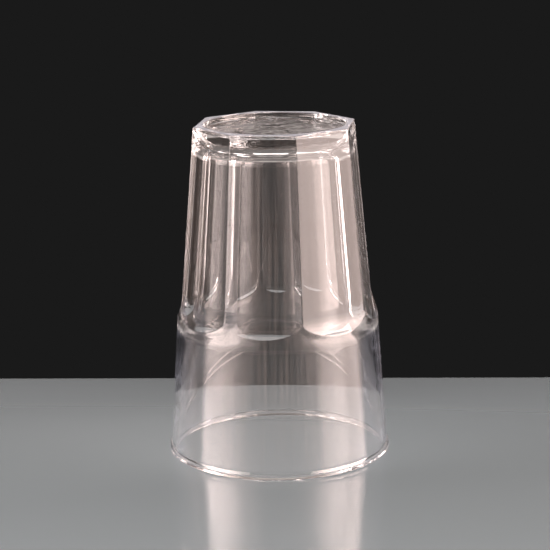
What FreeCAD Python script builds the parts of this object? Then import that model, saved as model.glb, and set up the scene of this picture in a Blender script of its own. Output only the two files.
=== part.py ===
"""Eight-panelled tumbler (highball glass), pressed in one piece.

It stands on its rim, mouth down: the rim's resting plane is z = 0, the foot is up, and the
axis is Z. A smooth band runs round the rim end. Above it, eight flat panels reach to the foot,
and each one runs out of the band in a cove, so that its lower end is an arch. Panel middles
face +X, +Y and the diagonals. The bore is a round cone that draws in at a waist behind the
arches and ends in a rounded floor. A low bead with bevelled edges runs round the rim, and the
foot is an octagonal ring round a shallow round recess.
Sizes are in millimetres and degrees.
"""
import FreeCAD, Part
import math
import os

Vector = FreeCAD.Vector

# Overall
HEIGHT = 127.0              # rim plane to foot plane
RIM_RADIUS = 42.7           # over the bead at the rim

# Outside of the body
BAND_DRAFT = 3.79           # the smooth cone narrows towards the foot by this angle
BEAD_PROUD = 0.55           # bead beyond the cone, measured at the rim plane
BEAD_HEIGHT = 2.8           # rim plane to where the bead meets the cone
BEAD_SHOULDER = 1.0         # height of the bead's sloping upper side
LIP_OUTER_BEVEL = 0.6
LIP_INNER_BEVEL = 0.6

# Bore
LIP_WALL = 2.25             # cone to bore, measured at the rim plane
BORE_DRAFT = 5.23
WAIST_START = 48.5          # height above the rim where the bore begins to draw in
WAIST_HEIGHT = 8.0
WAIST_STEP = 1.9            # how far the bore draws in, beyond its draft
WAIST_ROUND = 16.0
BASE_THICKNESS = 5.6        # foot plane to the floor of the bore
FLOOR_ROUND = 7.0

# Panels
PANEL_COUNT = 8
RIDGE_INSET = 0.69          # cone to the ridge between two panels, where the cove begins
PANEL_DRAFT = 4.80
COVE_START = 61.1           # height above the rim where flat panel turns into cove
COVE_RADIUS = 13.1
EDGE_ROUND = 0.8            # ridges between panels, arched edges and the foot's outline

# Foot
FOOT_RING = 1.8             # width of the flat foot ring at a panel's middle
RECESS_DEPTH = 2.1
RECESS_DRAFT = 6.0
RECESS_CORNER_ROUND = 1.0
RECESS_BEVEL = 0.4

PANEL_TURN = 360 / PANEL_COUNT
AXIS_POINT = Vector(0, 0, 0)
AXIS = Vector(0, 0, 1)
NEAR = 1e-3                 # how close an edge lies to the surface it is picked by


def slope(angle):
    return math.tan(math.radians(angle))


def cone_radius(z):
    """Outside of the smooth cone at height z."""
    return RIM_RADIUS - BEAD_PROUD - slope(BAND_DRAFT) * z


def mouth_radius(z):
    """The bore between the rim and the waist, at height z."""
    return RIM_RADIUS - BEAD_PROUD - LIP_WALL - slope(BORE_DRAFT) * z


def bore_radius(z):
    """The bore between the waist and the floor, at height z."""
    return mouth_radius(z) - WAIST_STEP


def panel_distance(z):
    """Distance of a flat panel from the axis at height z."""
    ridge_at_cove = cone_radius(COVE_START) - RIDGE_INSET
    panel_at_cove = ridge_at_cove * math.cos(math.radians(PANEL_TURN / 2))
    return panel_at_cove - slope(PANEL_DRAFT) * (z - COVE_START)


def rounded_wire(corners):
    """Closed wire in the XZ plane through corners (x, z, round), each turned on an arc."""
    points = [Vector(x, 0, z) for x, z, _ in corners]
    following = points[1:] + points[:1]
    starts, middles, ends = [], [], []
    for i, (_, _, radius) in enumerate(corners):
        corner = points[i]
        back = (points[i - 1] - corner).normalize()
        ahead = (following[i] - corner).normalize()
        half_angle = back.getAngle(ahead) / 2
        setback = radius / math.tan(half_angle)
        to_middle = radius / math.sin(half_angle) - radius
        starts.append(corner + back * setback)
        middles.append(corner + (back + ahead).normalize() * to_middle)
        ends.append(corner + ahead * setback)
    edges = []
    for i, (_, _, radius) in enumerate(corners):
        if radius > 0:
            edges.append(Part.Arc(starts[i], middles[i], ends[i]).toShape())
        next_start = starts[(i + 1) % len(corners)]
        edges.append(Part.LineSegment(ends[i], next_start).toShape())
    return Part.Wire(edges)


def turned_blank():
    """The glass before its panels: cone, bead, bore and foot recess in one revolve."""
    waist_end = WAIST_START + WAIST_HEIGHT
    floor = HEIGHT - BASE_THICKNESS
    recess_floor = HEIGHT - RECESS_DEPTH
    recess_bevel = HEIGHT - RECESS_BEVEL
    recess_radius = panel_distance(HEIGHT) - FOOT_RING
    recess_wall_radius = recess_radius - RECESS_BEVEL
    recess_floor_radius = recess_wall_radius - slope(RECESS_DRAFT) * (recess_bevel - recess_floor)
    corners = [
        (0, recess_floor, 0),
        (recess_floor_radius, recess_floor, RECESS_CORNER_ROUND),
        (recess_wall_radius, recess_bevel, 0),
        (recess_radius, HEIGHT, 0),
        (cone_radius(HEIGHT), HEIGHT, 0),
        (cone_radius(BEAD_HEIGHT), BEAD_HEIGHT, 0),
        (RIM_RADIUS, BEAD_HEIGHT - BEAD_SHOULDER, 0),
        (RIM_RADIUS, LIP_OUTER_BEVEL, 0),
        (RIM_RADIUS - LIP_OUTER_BEVEL, 0, 0),
        (mouth_radius(0) + LIP_INNER_BEVEL, 0, 0),
        (mouth_radius(LIP_INNER_BEVEL), LIP_INNER_BEVEL, 0),
        (mouth_radius(WAIST_START), WAIST_START, WAIST_ROUND),
        (bore_radius(waist_end), waist_end, WAIST_ROUND),
        (bore_radius(floor), floor, FLOOR_ROUND),
        (0, floor, 0),
    ]
    return Part.Face(rounded_wire(corners)).revolve(AXIS_POINT, AXIS, 360)


def panel_cutter():
    """Everything outside the panel that faces +X: flat above, cove below."""
    draft = math.radians(PANEL_DRAFT)
    top = HEIGHT + COVE_RADIUS
    outside = RIM_RADIUS + COVE_RADIUS
    panel_top = Vector(panel_distance(top), 0, top)
    cove_top = Vector(panel_distance(COVE_START), 0, COVE_START)
    centre = cove_top + Vector(math.cos(draft), 0, math.sin(draft)) * COVE_RADIUS
    half_turn = (math.pi / 2 + draft) / 2
    cove_middle = centre - Vector(math.sin(half_turn), 0, math.cos(half_turn)) * COVE_RADIUS
    cove_end = centre - Vector(0, 0, COVE_RADIUS)
    straight = [cove_end, Vector(outside, 0, cove_end.z), Vector(outside, 0, top), panel_top, cove_top]
    edges = [Part.Arc(cove_top, cove_middle, cove_end).toShape()]
    edges += [Part.LineSegment(a, b).toShape() for a, b in zip(straight, straight[1:])]
    face = Part.Face(Part.Wire(edges))
    face.translate(Vector(0, -RIM_RADIUS, 0))
    return face.extrude(Vector(0, 2 * RIM_RADIUS, 0))


def panelled(blank):
    cutters = []
    for i in range(PANEL_COUNT):
        cutter = panel_cutter()
        cutter.rotate(AXIS_POINT, AXIS, i * PANEL_TURN)
        cutters.append(cutter)
    return blank.cut(cutters)


def places(edge):
    """The edge's ends and its middle."""
    first, last = edge.ParameterRange
    return [edge.valueAt(first), edge.valueAt((first + last) / 2), edge.valueAt(last)]


def is_ridge(point):
    """True in the plane halfway between two panels, above the smooth band."""
    turn = math.degrees(math.atan2(point.y, point.x)) % PANEL_TURN
    return abs(turn - PANEL_TURN / 2) < NEAR and point.z > COVE_START - COVE_RADIUS


def is_arch(point):
    """True on the smooth cone where coves run out of it."""
    on_cone = abs(math.hypot(point.x, point.y) - cone_radius(point.z)) < NEAR
    return on_cone and COVE_START - COVE_RADIUS < point.z < COVE_START


def is_foot_edge(point):
    outside = math.hypot(point.x, point.y) > panel_distance(HEIGHT) - NEAR
    return outside and abs(point.z - HEIGHT) < NEAR


def eased(shape):
    """The edges that the panels leave are rounded together, so that they blend at the cusps."""
    pressed_edges = []
    for edge in shape.Edges:
        for test in (is_ridge, is_arch, is_foot_edge):
            if all(test(point) for point in places(edge)):
                pressed_edges.append(edge)
    return shape.makeFillet(EDGE_ROUND, pressed_edges)


glass = eased(panelled(turned_blank()))
os.makedirs("parts", exist_ok=True)
glass.exportStep("parts/glass.step")
print("glass: solids", len(glass.Solids), "valid", glass.isValid(), "volume", round(glass.Volume))
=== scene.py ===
"""Looks for the highball glass: clear glass on a grey table between two side softboxes.

Lengths are in metres and angles in degrees. The glass stands mouth down on z = 0, with its foot
on top. Turns are seen from above, from -Y towards +X. Only materials are added to the glass.
"""
import math

import bpy
from mathutils import Matrix, Vector


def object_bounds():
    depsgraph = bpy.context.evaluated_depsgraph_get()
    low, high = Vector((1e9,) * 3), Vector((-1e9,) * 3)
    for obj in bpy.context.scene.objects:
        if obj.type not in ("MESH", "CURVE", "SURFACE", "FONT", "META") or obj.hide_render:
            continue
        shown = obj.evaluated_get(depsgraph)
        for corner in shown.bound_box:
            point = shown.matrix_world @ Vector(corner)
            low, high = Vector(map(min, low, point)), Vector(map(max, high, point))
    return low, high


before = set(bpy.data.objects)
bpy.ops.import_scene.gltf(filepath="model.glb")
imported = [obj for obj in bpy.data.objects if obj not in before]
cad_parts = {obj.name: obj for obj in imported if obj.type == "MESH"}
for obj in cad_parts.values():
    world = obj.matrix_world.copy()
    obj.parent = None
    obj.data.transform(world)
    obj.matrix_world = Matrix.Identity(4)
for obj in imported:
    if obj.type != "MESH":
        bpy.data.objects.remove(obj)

CAD_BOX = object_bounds()
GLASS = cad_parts["glass"]
FOOT = CAD_BOX[1][2]        # height of the foot's plane

# Camera
CAMERA_DISTANCE = 0.6959    # from the axis, level
CAMERA_HEIGHT = 0.2384      # above the rim plane
CAMERA_TURN = 8.5
CAMERA_PITCH = 13.75        # looking down
CAMERA_AIM = 0.063          # turned left of the axis
CAMERA_ROLL = 0.93
CAMERA_NEAR = 0.01          # nearest thing that shows
LENS = 122.3                # millimetres, as is the sensor
SENSOR = 36.0

# Table
TABLE_EDGE = 0.0882         # far edge, behind the axis
TABLE_EDGE_TURN = -2.7      # beyond the camera's turn
TABLE_WIDTH = 0.9
TABLE_DEPTH = 1.6
TABLE_THICKNESS = 0.004
# The table's colour grows paler from the far to the near colour: painted light, for the lamps lighting the
# near table more
TABLE_FAR_COLOUR = (0.07, 0.087, 0.094, 1)
TABLE_NEAR_COLOUR_WITH_PAINTED_LIGHT = (0.165, 0.203, 0.218, 1)
TABLE_NEAR = -0.3           # where along Y the near colour is reached
TABLE_ROUGHNESS = 0.09
TABLE_IOR = 1.62

# Side softboxes. Stops across are (turn from the camera, level), and stops up (elevation, level)
SIDE_DISTANCE = 0.9
RIGHT_RADIANCE = 17.5
RIGHT_COLOUR = (1.0, 0.79, 0.73)
RIGHT_ACROSS = ((13, 0.03), (26, 0.06), (40, 0.2), (54, 0.75), (66, 1.0), (98, 1.0), (106, 0.0))
RIGHT_UP = ((-7, 0.42), (8, 0.43), (14, 0.52), (22, 0.75), (32, 1.0), (50, 1.0))
LEFT_RADIANCE = 16.5
LEFT_COLOUR = (1.0, 0.835, 0.80)
LEFT_ACROSS = ((-96, 0.0), (-92, 0.08), (-86, 0.8), (-70, 0.8), (-54, 0.45), (-47, 0.2), (-40, 0.12),
               (-26, 0.06), (-20, 0.0))
LEFT_UP = ((-7, 0.36), (8, 0.38), (14, 0.6), (22, 1.0), (32, 1.5), (50, 1.5))

# Overhead softbox
TOP_DISTANCE = 1.1          # above the table
TOP_FORWARD = 0.25          # from the axis towards the camera
TOP_SIZE = 0.8
TOP_RADIANCE = 2.2
TOP_COLOUR = (1.0, 0.92, 0.88)

# Room
DARK = 0.0103
GLOW_COLOUR = (1.0, 0.9, 0.86)
GLOW = ((1.0, DARK), (6.5, 0.46), (12.5, 0.46), (15.0, 0.13), (60.0, 0.18))   # (elevation, level)

# Clear glass
GLASS_IOR = 1.52
SHADOW_TINT = (1.17, 1.17, 1.17, 1)     # above 1, so the table inside the glass is a little brighter
LIGHT_BOUNCES = 24
GLOSSY_BOUNCES = 12

# Ripple on the floor of the foot's recess
RIPPLE_SIZE = 0.009
RIPPLE_HEIGHT = 0.0015
RIPPLE_DETAIL = 2.0
RIPPLE_RADIUS = 0.0275      # no ripple beyond this distance from the axis
RIPPLE_FADE = 0.002         # width over which the ripple dies out there
RIPPLE_DEPTH = 0.0027       # below the foot: deeper than the recess floor, short of the bore's

# Film on the glass. Each share is how much of the clear glass it hides, from 0 to 1
HAZE_SHARE = 0.001
STREAK_SHARE = 0.016
SCRATCH_SHARE = 0.055
FOOT_SHARE = 0.12
FILM_COLOUR = (1.0, 0.86, 0.78, 1)
SCUFF_COLOUR = (0.72, 0.82, 1.0, 1)     # on the band's scuffed sides and on the foot ring

# Where the film lies
BAND_TOP = 0.052
BAND_FADE = 0.002           # above and below the band's top
SIDE_FROM = 0.026           # across the glass from its axis, where a side begins to be scuffed
SIDE_FULL = 0.034
FOOT_FROM = 0.0004          # below the foot's plane
FOOT_FULL = 0.0001

# Noise laid round the glass. It is turned into film where its value runs through these limits
ARC_RADIUS = 0.04           # where distances round the glass are measured
STREAKS = {"across": 0.0009, "along": 0.05, "lean": 0.0, "detail": 2.0, "seed": 3.0}
STREAK_LIMITS = (0.45, 0.75)
PATCHES = {"across": 0.006, "along": 0.012, "lean": 0.0, "detail": 3.0, "seed": 7.0}
PATCH_LIMITS = (0.42, 0.65)
SCRATCH_SETS = ({"across": 0.0014, "along": 0.006, "lean": 0.25, "detail": 3.0, "seed": 11.0},
                {"across": 0.0014, "along": 0.006, "lean": -0.3, "detail": 3.0, "seed": 23.0})
SCRATCH_MIDDLE = 0.5        # a scratch follows the noise's contour at this value
SCRATCH_WIDTH = 0.03        # to either side of it

# Sockets of a Mix node that mixes colours
MIX_SHARE = 0
MIX_FIRST = 6
MIX_SECOND = 7
MIX_RESULT = 2


def around(distance, turn, height):
    """A point at this turn and distance from the axis."""
    angle = math.radians(turn)
    return Vector((distance * math.sin(angle), -distance * math.cos(angle), height))


def make_camera():
    data = bpy.data.cameras.new("camera")
    data.sensor_width = SENSOR
    data.lens = LENS
    data.clip_start = CAMERA_NEAR
    camera = bpy.data.objects.new("camera", data)
    bpy.context.scene.collection.objects.link(camera)
    turn = Matrix.Rotation(math.radians(CAMERA_TURN + CAMERA_AIM), 4, "Z")
    pitch = Matrix.Rotation(math.radians(90 - CAMERA_PITCH), 4, "X")
    roll = Matrix.Rotation(math.radians(-CAMERA_ROLL), 4, "Z")
    place = Matrix.Translation(around(CAMERA_DISTANCE, CAMERA_TURN, CAMERA_HEIGHT))
    camera.matrix_world = place @ turn @ pitch @ roll
    bpy.context.scene.camera = camera


def new_material(name):
    material = bpy.data.materials.new(name)
    material.use_nodes = True
    material.node_tree.nodes.clear()
    return material, material.node_tree.nodes, material.node_tree.links


def object_axes(nodes, links):
    """Object coordinates, whole and split into X, Y and Z."""
    place = nodes.new("ShaderNodeTexCoord").outputs["Object"]
    axes = nodes.new("ShaderNodeSeparateXYZ")
    links.new(place, axes.inputs[0])
    return place, axes.outputs["X"], axes.outputs["Y"], axes.outputs["Z"]


def maths(nodes, links, operation, *values):
    node = nodes.new("ShaderNodeMath")
    node.operation = operation
    for socket, value in zip(node.inputs, values):
        if isinstance(value, (int, float)):
            socket.default_value = value
        else:
            links.new(value, socket)
    return node.outputs[0]


def ranged(nodes, links, value, low, high, to_low=0.0, to_high=1.0):
    """The value carried from low..high to to_low..to_high, and held at both ends."""
    node = nodes.new("ShaderNodeMapRange")
    links.new(value, node.inputs["Value"])
    node.inputs["From Min"].default_value = low
    node.inputs["From Max"].default_value = high
    node.inputs["To Min"].default_value = to_low
    node.inputs["To Max"].default_value = to_high
    return node.outputs["Result"]


def mixed_colours(nodes, links, share, first, second):
    """The first colour where share is 0 and the second where it is 1."""
    mix = nodes.new("ShaderNodeMix")
    mix.data_type = "RGBA"
    links.new(share, mix.inputs[MIX_SHARE])
    mix.inputs[MIX_FIRST].default_value = first
    mix.inputs[MIX_SECOND].default_value = second
    return mix.outputs[MIX_RESULT]


def mixed_shaders(nodes, links, share, first, second):
    """The first shader where share is 0 and the second where it is 1."""
    mix = nodes.new("ShaderNodeMixShader")
    for value, socket in zip((share, first, second), mix.inputs):
        links.new(value, socket)
    return mix.outputs[0]


def wrapped_noise(nodes, links, arc, height, across, along, lean, detail, seed):
    """Noise laid on the glass: features are across metres wide and along metres tall."""
    leant = maths(nodes, links, "MULTIPLY_ADD", height, lean, arc)
    place = nodes.new("ShaderNodeCombineXYZ")
    links.new(maths(nodes, links, "MULTIPLY", leant, 1 / across), place.inputs["X"])
    links.new(maths(nodes, links, "MULTIPLY", height, 1 / along), place.inputs["Y"])
    place.inputs["Z"].default_value = seed
    noise = nodes.new("ShaderNodeTexNoise")
    noise.inputs["Scale"].default_value = 1.0
    noise.inputs["Detail"].default_value = detail
    links.new(place.outputs[0], noise.inputs["Vector"])
    return noise.outputs["Fac"]


def scratch_lines(nodes, links, arc, height):
    """Two sets of fine lines that lean opposite ways, in patches."""
    sets = []
    for scratches in SCRATCH_SETS:
        noise = wrapped_noise(nodes, links, arc, height, **scratches)
        off = maths(nodes, links, "ABSOLUTE", maths(nodes, links, "SUBTRACT", noise, SCRATCH_MIDDLE))
        sets.append(ranged(nodes, links, off, 0.0, SCRATCH_WIDTH, 1.0, 0.0))
    lines = maths(nodes, links, "ADD", *sets)
    patches = ranged(nodes, links, wrapped_noise(nodes, links, arc, height, **PATCHES), *PATCH_LIMITS)
    return maths(nodes, links, "MULTIPLY", lines, patches)


def film_on_glass(nodes, links, x, y, height):
    """Haze, streaks, scratches and the scuffed foot ring: their share of the surface, and their shader."""
    arc = maths(nodes, links, "MULTIPLY", maths(nodes, links, "ARCTAN2", y, x), ARC_RADIUS)
    band = ranged(nodes, links, height, BAND_TOP - BAND_FADE, BAND_TOP + BAND_FADE, 1.0, 0.0)
    side = ranged(nodes, links, maths(nodes, links, "ABSOLUTE", x), SIDE_FROM, SIDE_FULL)
    scuffed = maths(nodes, links, "MULTIPLY", side, band)
    foot = ranged(nodes, links, height, FOOT - FOOT_FROM, FOOT - FOOT_FULL)
    streaks = ranged(nodes, links, wrapped_noise(nodes, links, arc, height, **STREAKS), *STREAK_LIMITS)
    scratched = maths(nodes, links, "MULTIPLY", scratch_lines(nodes, links, arc, height), scuffed)
    share = ranged(nodes, links, scuffed, 0.0, 1.0, HAZE_SHARE, 0.0)
    share = maths(nodes, links, "MULTIPLY_ADD", streaks, STREAK_SHARE, share)
    share = maths(nodes, links, "MULTIPLY_ADD", scratched, SCRATCH_SHARE, share)
    share = maths(nodes, links, "MULTIPLY_ADD", foot, FOOT_SHARE, share)
    worn = maths(nodes, links, "MAXIMUM", scuffed, foot)
    film = nodes.new("ShaderNodeBsdfDiffuse")
    links.new(mixed_colours(nodes, links, worn, FILM_COLOUR, SCUFF_COLOUR), film.inputs["Color"])
    return share, film.outputs[0]


def recess_ripple(nodes, links, place, x, y, height):
    """Normals of the glass, rippled on the floor of the foot's recess."""
    square = maths(nodes, links, "MULTIPLY_ADD", y, y, maths(nodes, links, "MULTIPLY", x, x))
    radius = maths(nodes, links, "SQRT", square)
    inside = ranged(nodes, links, radius, RIPPLE_RADIUS - RIPPLE_FADE, RIPPLE_RADIUS, 1.0, 0.0)
    on_top = maths(nodes, links, "GREATER_THAN", height, FOOT - RIPPLE_DEPTH)
    ripples = nodes.new("ShaderNodeTexNoise")
    ripples.inputs["Scale"].default_value = 1 / RIPPLE_SIZE
    ripples.inputs["Detail"].default_value = RIPPLE_DETAIL
    links.new(place, ripples.inputs["Vector"])
    bump = nodes.new("ShaderNodeBump")
    bump.inputs["Distance"].default_value = RIPPLE_HEIGHT
    links.new(maths(nodes, links, "MULTIPLY", inside, on_top), bump.inputs["Strength"])
    links.new(ripples.outputs["Fac"], bump.inputs["Height"])
    return bump.outputs[0]


def glass_material():
    """Clear glass under a thin film. The lamps' light goes straight through both to the table."""
    material, nodes, links = new_material("clear_glass")
    place, x, y, height = object_axes(nodes, links)
    clear = nodes.new("ShaderNodeBsdfPrincipled")
    clear.inputs["Base Color"].default_value = (1, 1, 1, 1)
    clear.inputs["Roughness"].default_value = 0.0
    clear.inputs["IOR"].default_value = GLASS_IOR
    clear.inputs["Transmission Weight"].default_value = 1.0
    links.new(recess_ripple(nodes, links, place, x, y, height), clear.inputs["Normal"])
    share, film = film_on_glass(nodes, links, x, y, height)
    filmed = mixed_shaders(nodes, links, share, clear.outputs[0], film)
    let_through = nodes.new("ShaderNodeBsdfTransparent")
    let_through.inputs[0].default_value = SHADOW_TINT
    to_lamp = nodes.new("ShaderNodeLightPath").outputs["Is Shadow Ray"]
    surface = mixed_shaders(nodes, links, to_lamp, filmed, let_through.outputs[0])
    output = nodes.new("ShaderNodeOutputMaterial")
    links.new(surface, output.inputs["Surface"])
    return material


def table_material():
    """Smooth grey, paler towards the camera: painted light, for the lamps lighting the near table more."""
    material, nodes, links = new_material("table")
    _, _, y, _ = object_axes(nodes, links)
    # Painted light: the colour pales towards the camera
    painted_light_share = ranged(nodes, links, y, TABLE_EDGE, TABLE_NEAR)
    colour = mixed_colours(nodes, links, painted_light_share, TABLE_FAR_COLOUR, TABLE_NEAR_COLOUR_WITH_PAINTED_LIGHT)
    shader = nodes.new("ShaderNodeBsdfPrincipled")
    links.new(colour, shader.inputs["Base Color"])
    shader.inputs["Roughness"].default_value = TABLE_ROUGHNESS
    shader.inputs["IOR"].default_value = TABLE_IOR
    output = nodes.new("ShaderNodeOutputMaterial")
    links.new(shader.outputs[0], output.inputs["Surface"])
    return material


def make_table():
    turn = CAMERA_TURN + TABLE_EDGE_TURN
    across = around(1, turn + 90, 0)
    ahead = around(-1, turn, 0)
    edge = ahead * TABLE_EDGE
    half = across * TABLE_WIDTH / 2
    depth = ahead * TABLE_DEPTH
    top = [edge - half, edge + half, edge + half - depth, edge - half - depth]
    down = Vector((0, 0, -TABLE_THICKNESS))
    bottom = [corner + down for corner in top]
    faces = [(3, 2, 1, 0), (4, 5, 6, 7), (0, 1, 5, 4), (1, 2, 6, 5), (2, 3, 7, 6), (3, 0, 4, 7)]
    mesh = bpy.data.meshes.new("table")
    mesh.from_pydata(top + bottom, [], faces)
    mesh.validate()
    mesh.materials.append(table_material())
    table = bpy.data.objects.new("table", mesh)
    bpy.context.scene.collection.objects.link(table)


def lamp(name, place, aim, width, height, radiance, colour):
    """A rectangle of light that the camera doesn't see directly."""
    data = bpy.data.lights.new(name, "AREA")
    data.shape = "RECTANGLE"
    data.size = width
    data.size_y = height
    data.energy = radiance * width * height * math.pi
    data.color = colour
    light = bpy.data.objects.new(name, data)
    bpy.context.scene.collection.objects.link(light)
    light.location = place
    light.rotation_euler = aim.to_track_quat("-Z", "Y").to_euler()
    light.visible_camera = False
    return data


def faded(nodes, links, coordinate, stops, middle, half):
    """Level along a lamp from its stops; middle and half are tangents, seen from the axis."""
    ramp = nodes.new("ShaderNodeValToRGB")
    links.new(coordinate, ramp.inputs["Fac"])
    ramp.color_ramp.interpolation = "EASE"
    while len(ramp.color_ramp.elements) < len(stops):
        ramp.color_ramp.elements.new(0.5)
    for element, (angle, level) in zip(ramp.color_ramp.elements, stops):
        element.position = 0.5 + (math.tan(math.radians(angle)) - middle) / half / 2
        element.color = (level, level, level, 1)
    return ramp.outputs["Color"]


def softbox(name, distance, across, up, radiance, colour):
    """An upright soft light that faces the axis, as wide and high as its stops, and faded by them."""
    middle = (across[0][0] + across[-1][0]) / 2
    half = math.tan(math.radians(across[-1][0] - middle))
    low, high = [math.tan(math.radians(up[i][0])) for i in (0, -1)]
    turn = CAMERA_TURN + middle
    place = around(distance, turn, distance * (low + high) / 2)
    width = 2 * half * distance
    height = (high - low) * distance
    data = lamp(name, place, around(-1, turn, 0), width, height, radiance, colour)
    data.use_nodes = True
    nodes, links = data.node_tree.nodes, data.node_tree.links
    spot = nodes.new("ShaderNodeNewGeometry")
    axes = nodes.new("ShaderNodeSeparateXYZ")
    links.new(spot.outputs["Parametric"], axes.inputs[0])
    turned = [(angle - middle, level) for angle, level in across]
    sideways = faded(nodes, links, axes.outputs["X"], turned, 0, half)
    upwards = faded(nodes, links, axes.outputs["Y"], up, (low + high) / 2, (high - low) / 2)
    level = maths(nodes, links, "MULTIPLY", sideways, upwards)
    links.new(level, nodes["Emission"].inputs["Strength"])


def make_lights():
    softbox("softbox_right", SIDE_DISTANCE, RIGHT_ACROSS, RIGHT_UP, RIGHT_RADIANCE, RIGHT_COLOUR)
    softbox("softbox_left", SIDE_DISTANCE, LEFT_ACROSS, LEFT_UP, LEFT_RADIANCE, LEFT_COLOUR)
    place = around(TOP_FORWARD, CAMERA_TURN, TOP_DISTANCE)
    lamp("softbox_top", place, Vector((0, 0, -1)), TOP_SIZE, TOP_SIZE, TOP_RADIANCE, TOP_COLOUR)


def make_world():
    """Dark below the horizon, with a soft glow of the room above it."""
    world = bpy.data.worlds.new("dark_studio")
    world.use_nodes = True
    nodes, links = world.node_tree.nodes, world.node_tree.links
    place = nodes.new("ShaderNodeTexCoord")
    axes = nodes.new("ShaderNodeSeparateXYZ")
    ramp = nodes.new("ShaderNodeValToRGB")
    links.new(place.outputs["Generated"], axes.inputs[0])
    links.new(axes.outputs["Z"], ramp.inputs["Fac"])
    links.new(ramp.outputs["Color"], nodes["Background"].inputs["Color"])
    ramp.color_ramp.elements.remove(ramp.color_ramp.elements[1])
    for elevation, level in GLOW:
        stop = ramp.color_ramp.elements.new(math.sin(math.radians(elevation)))
        stop.color = [level * c for c in GLOW_COLOUR] + [1]
    ramp.color_ramp.elements[0].color = (DARK, DARK, DARK, 1)
    bpy.context.scene.world = world


def set_up_view():
    scene = bpy.context.scene
    scene.view_settings.view_transform = "Standard"
    scene.cycles.max_bounces = LIGHT_BOUNCES
    scene.cycles.transmission_bounces = LIGHT_BOUNCES
    scene.cycles.glossy_bounces = GLOSSY_BOUNCES
    scene.cycles.caustics_refractive = False
    scene.cycles.caustics_reflective = False


set_up_view()
make_camera()
make_table()
make_lights()
make_world()
GLASS.data.materials.clear()
GLASS.data.materials.append(glass_material())
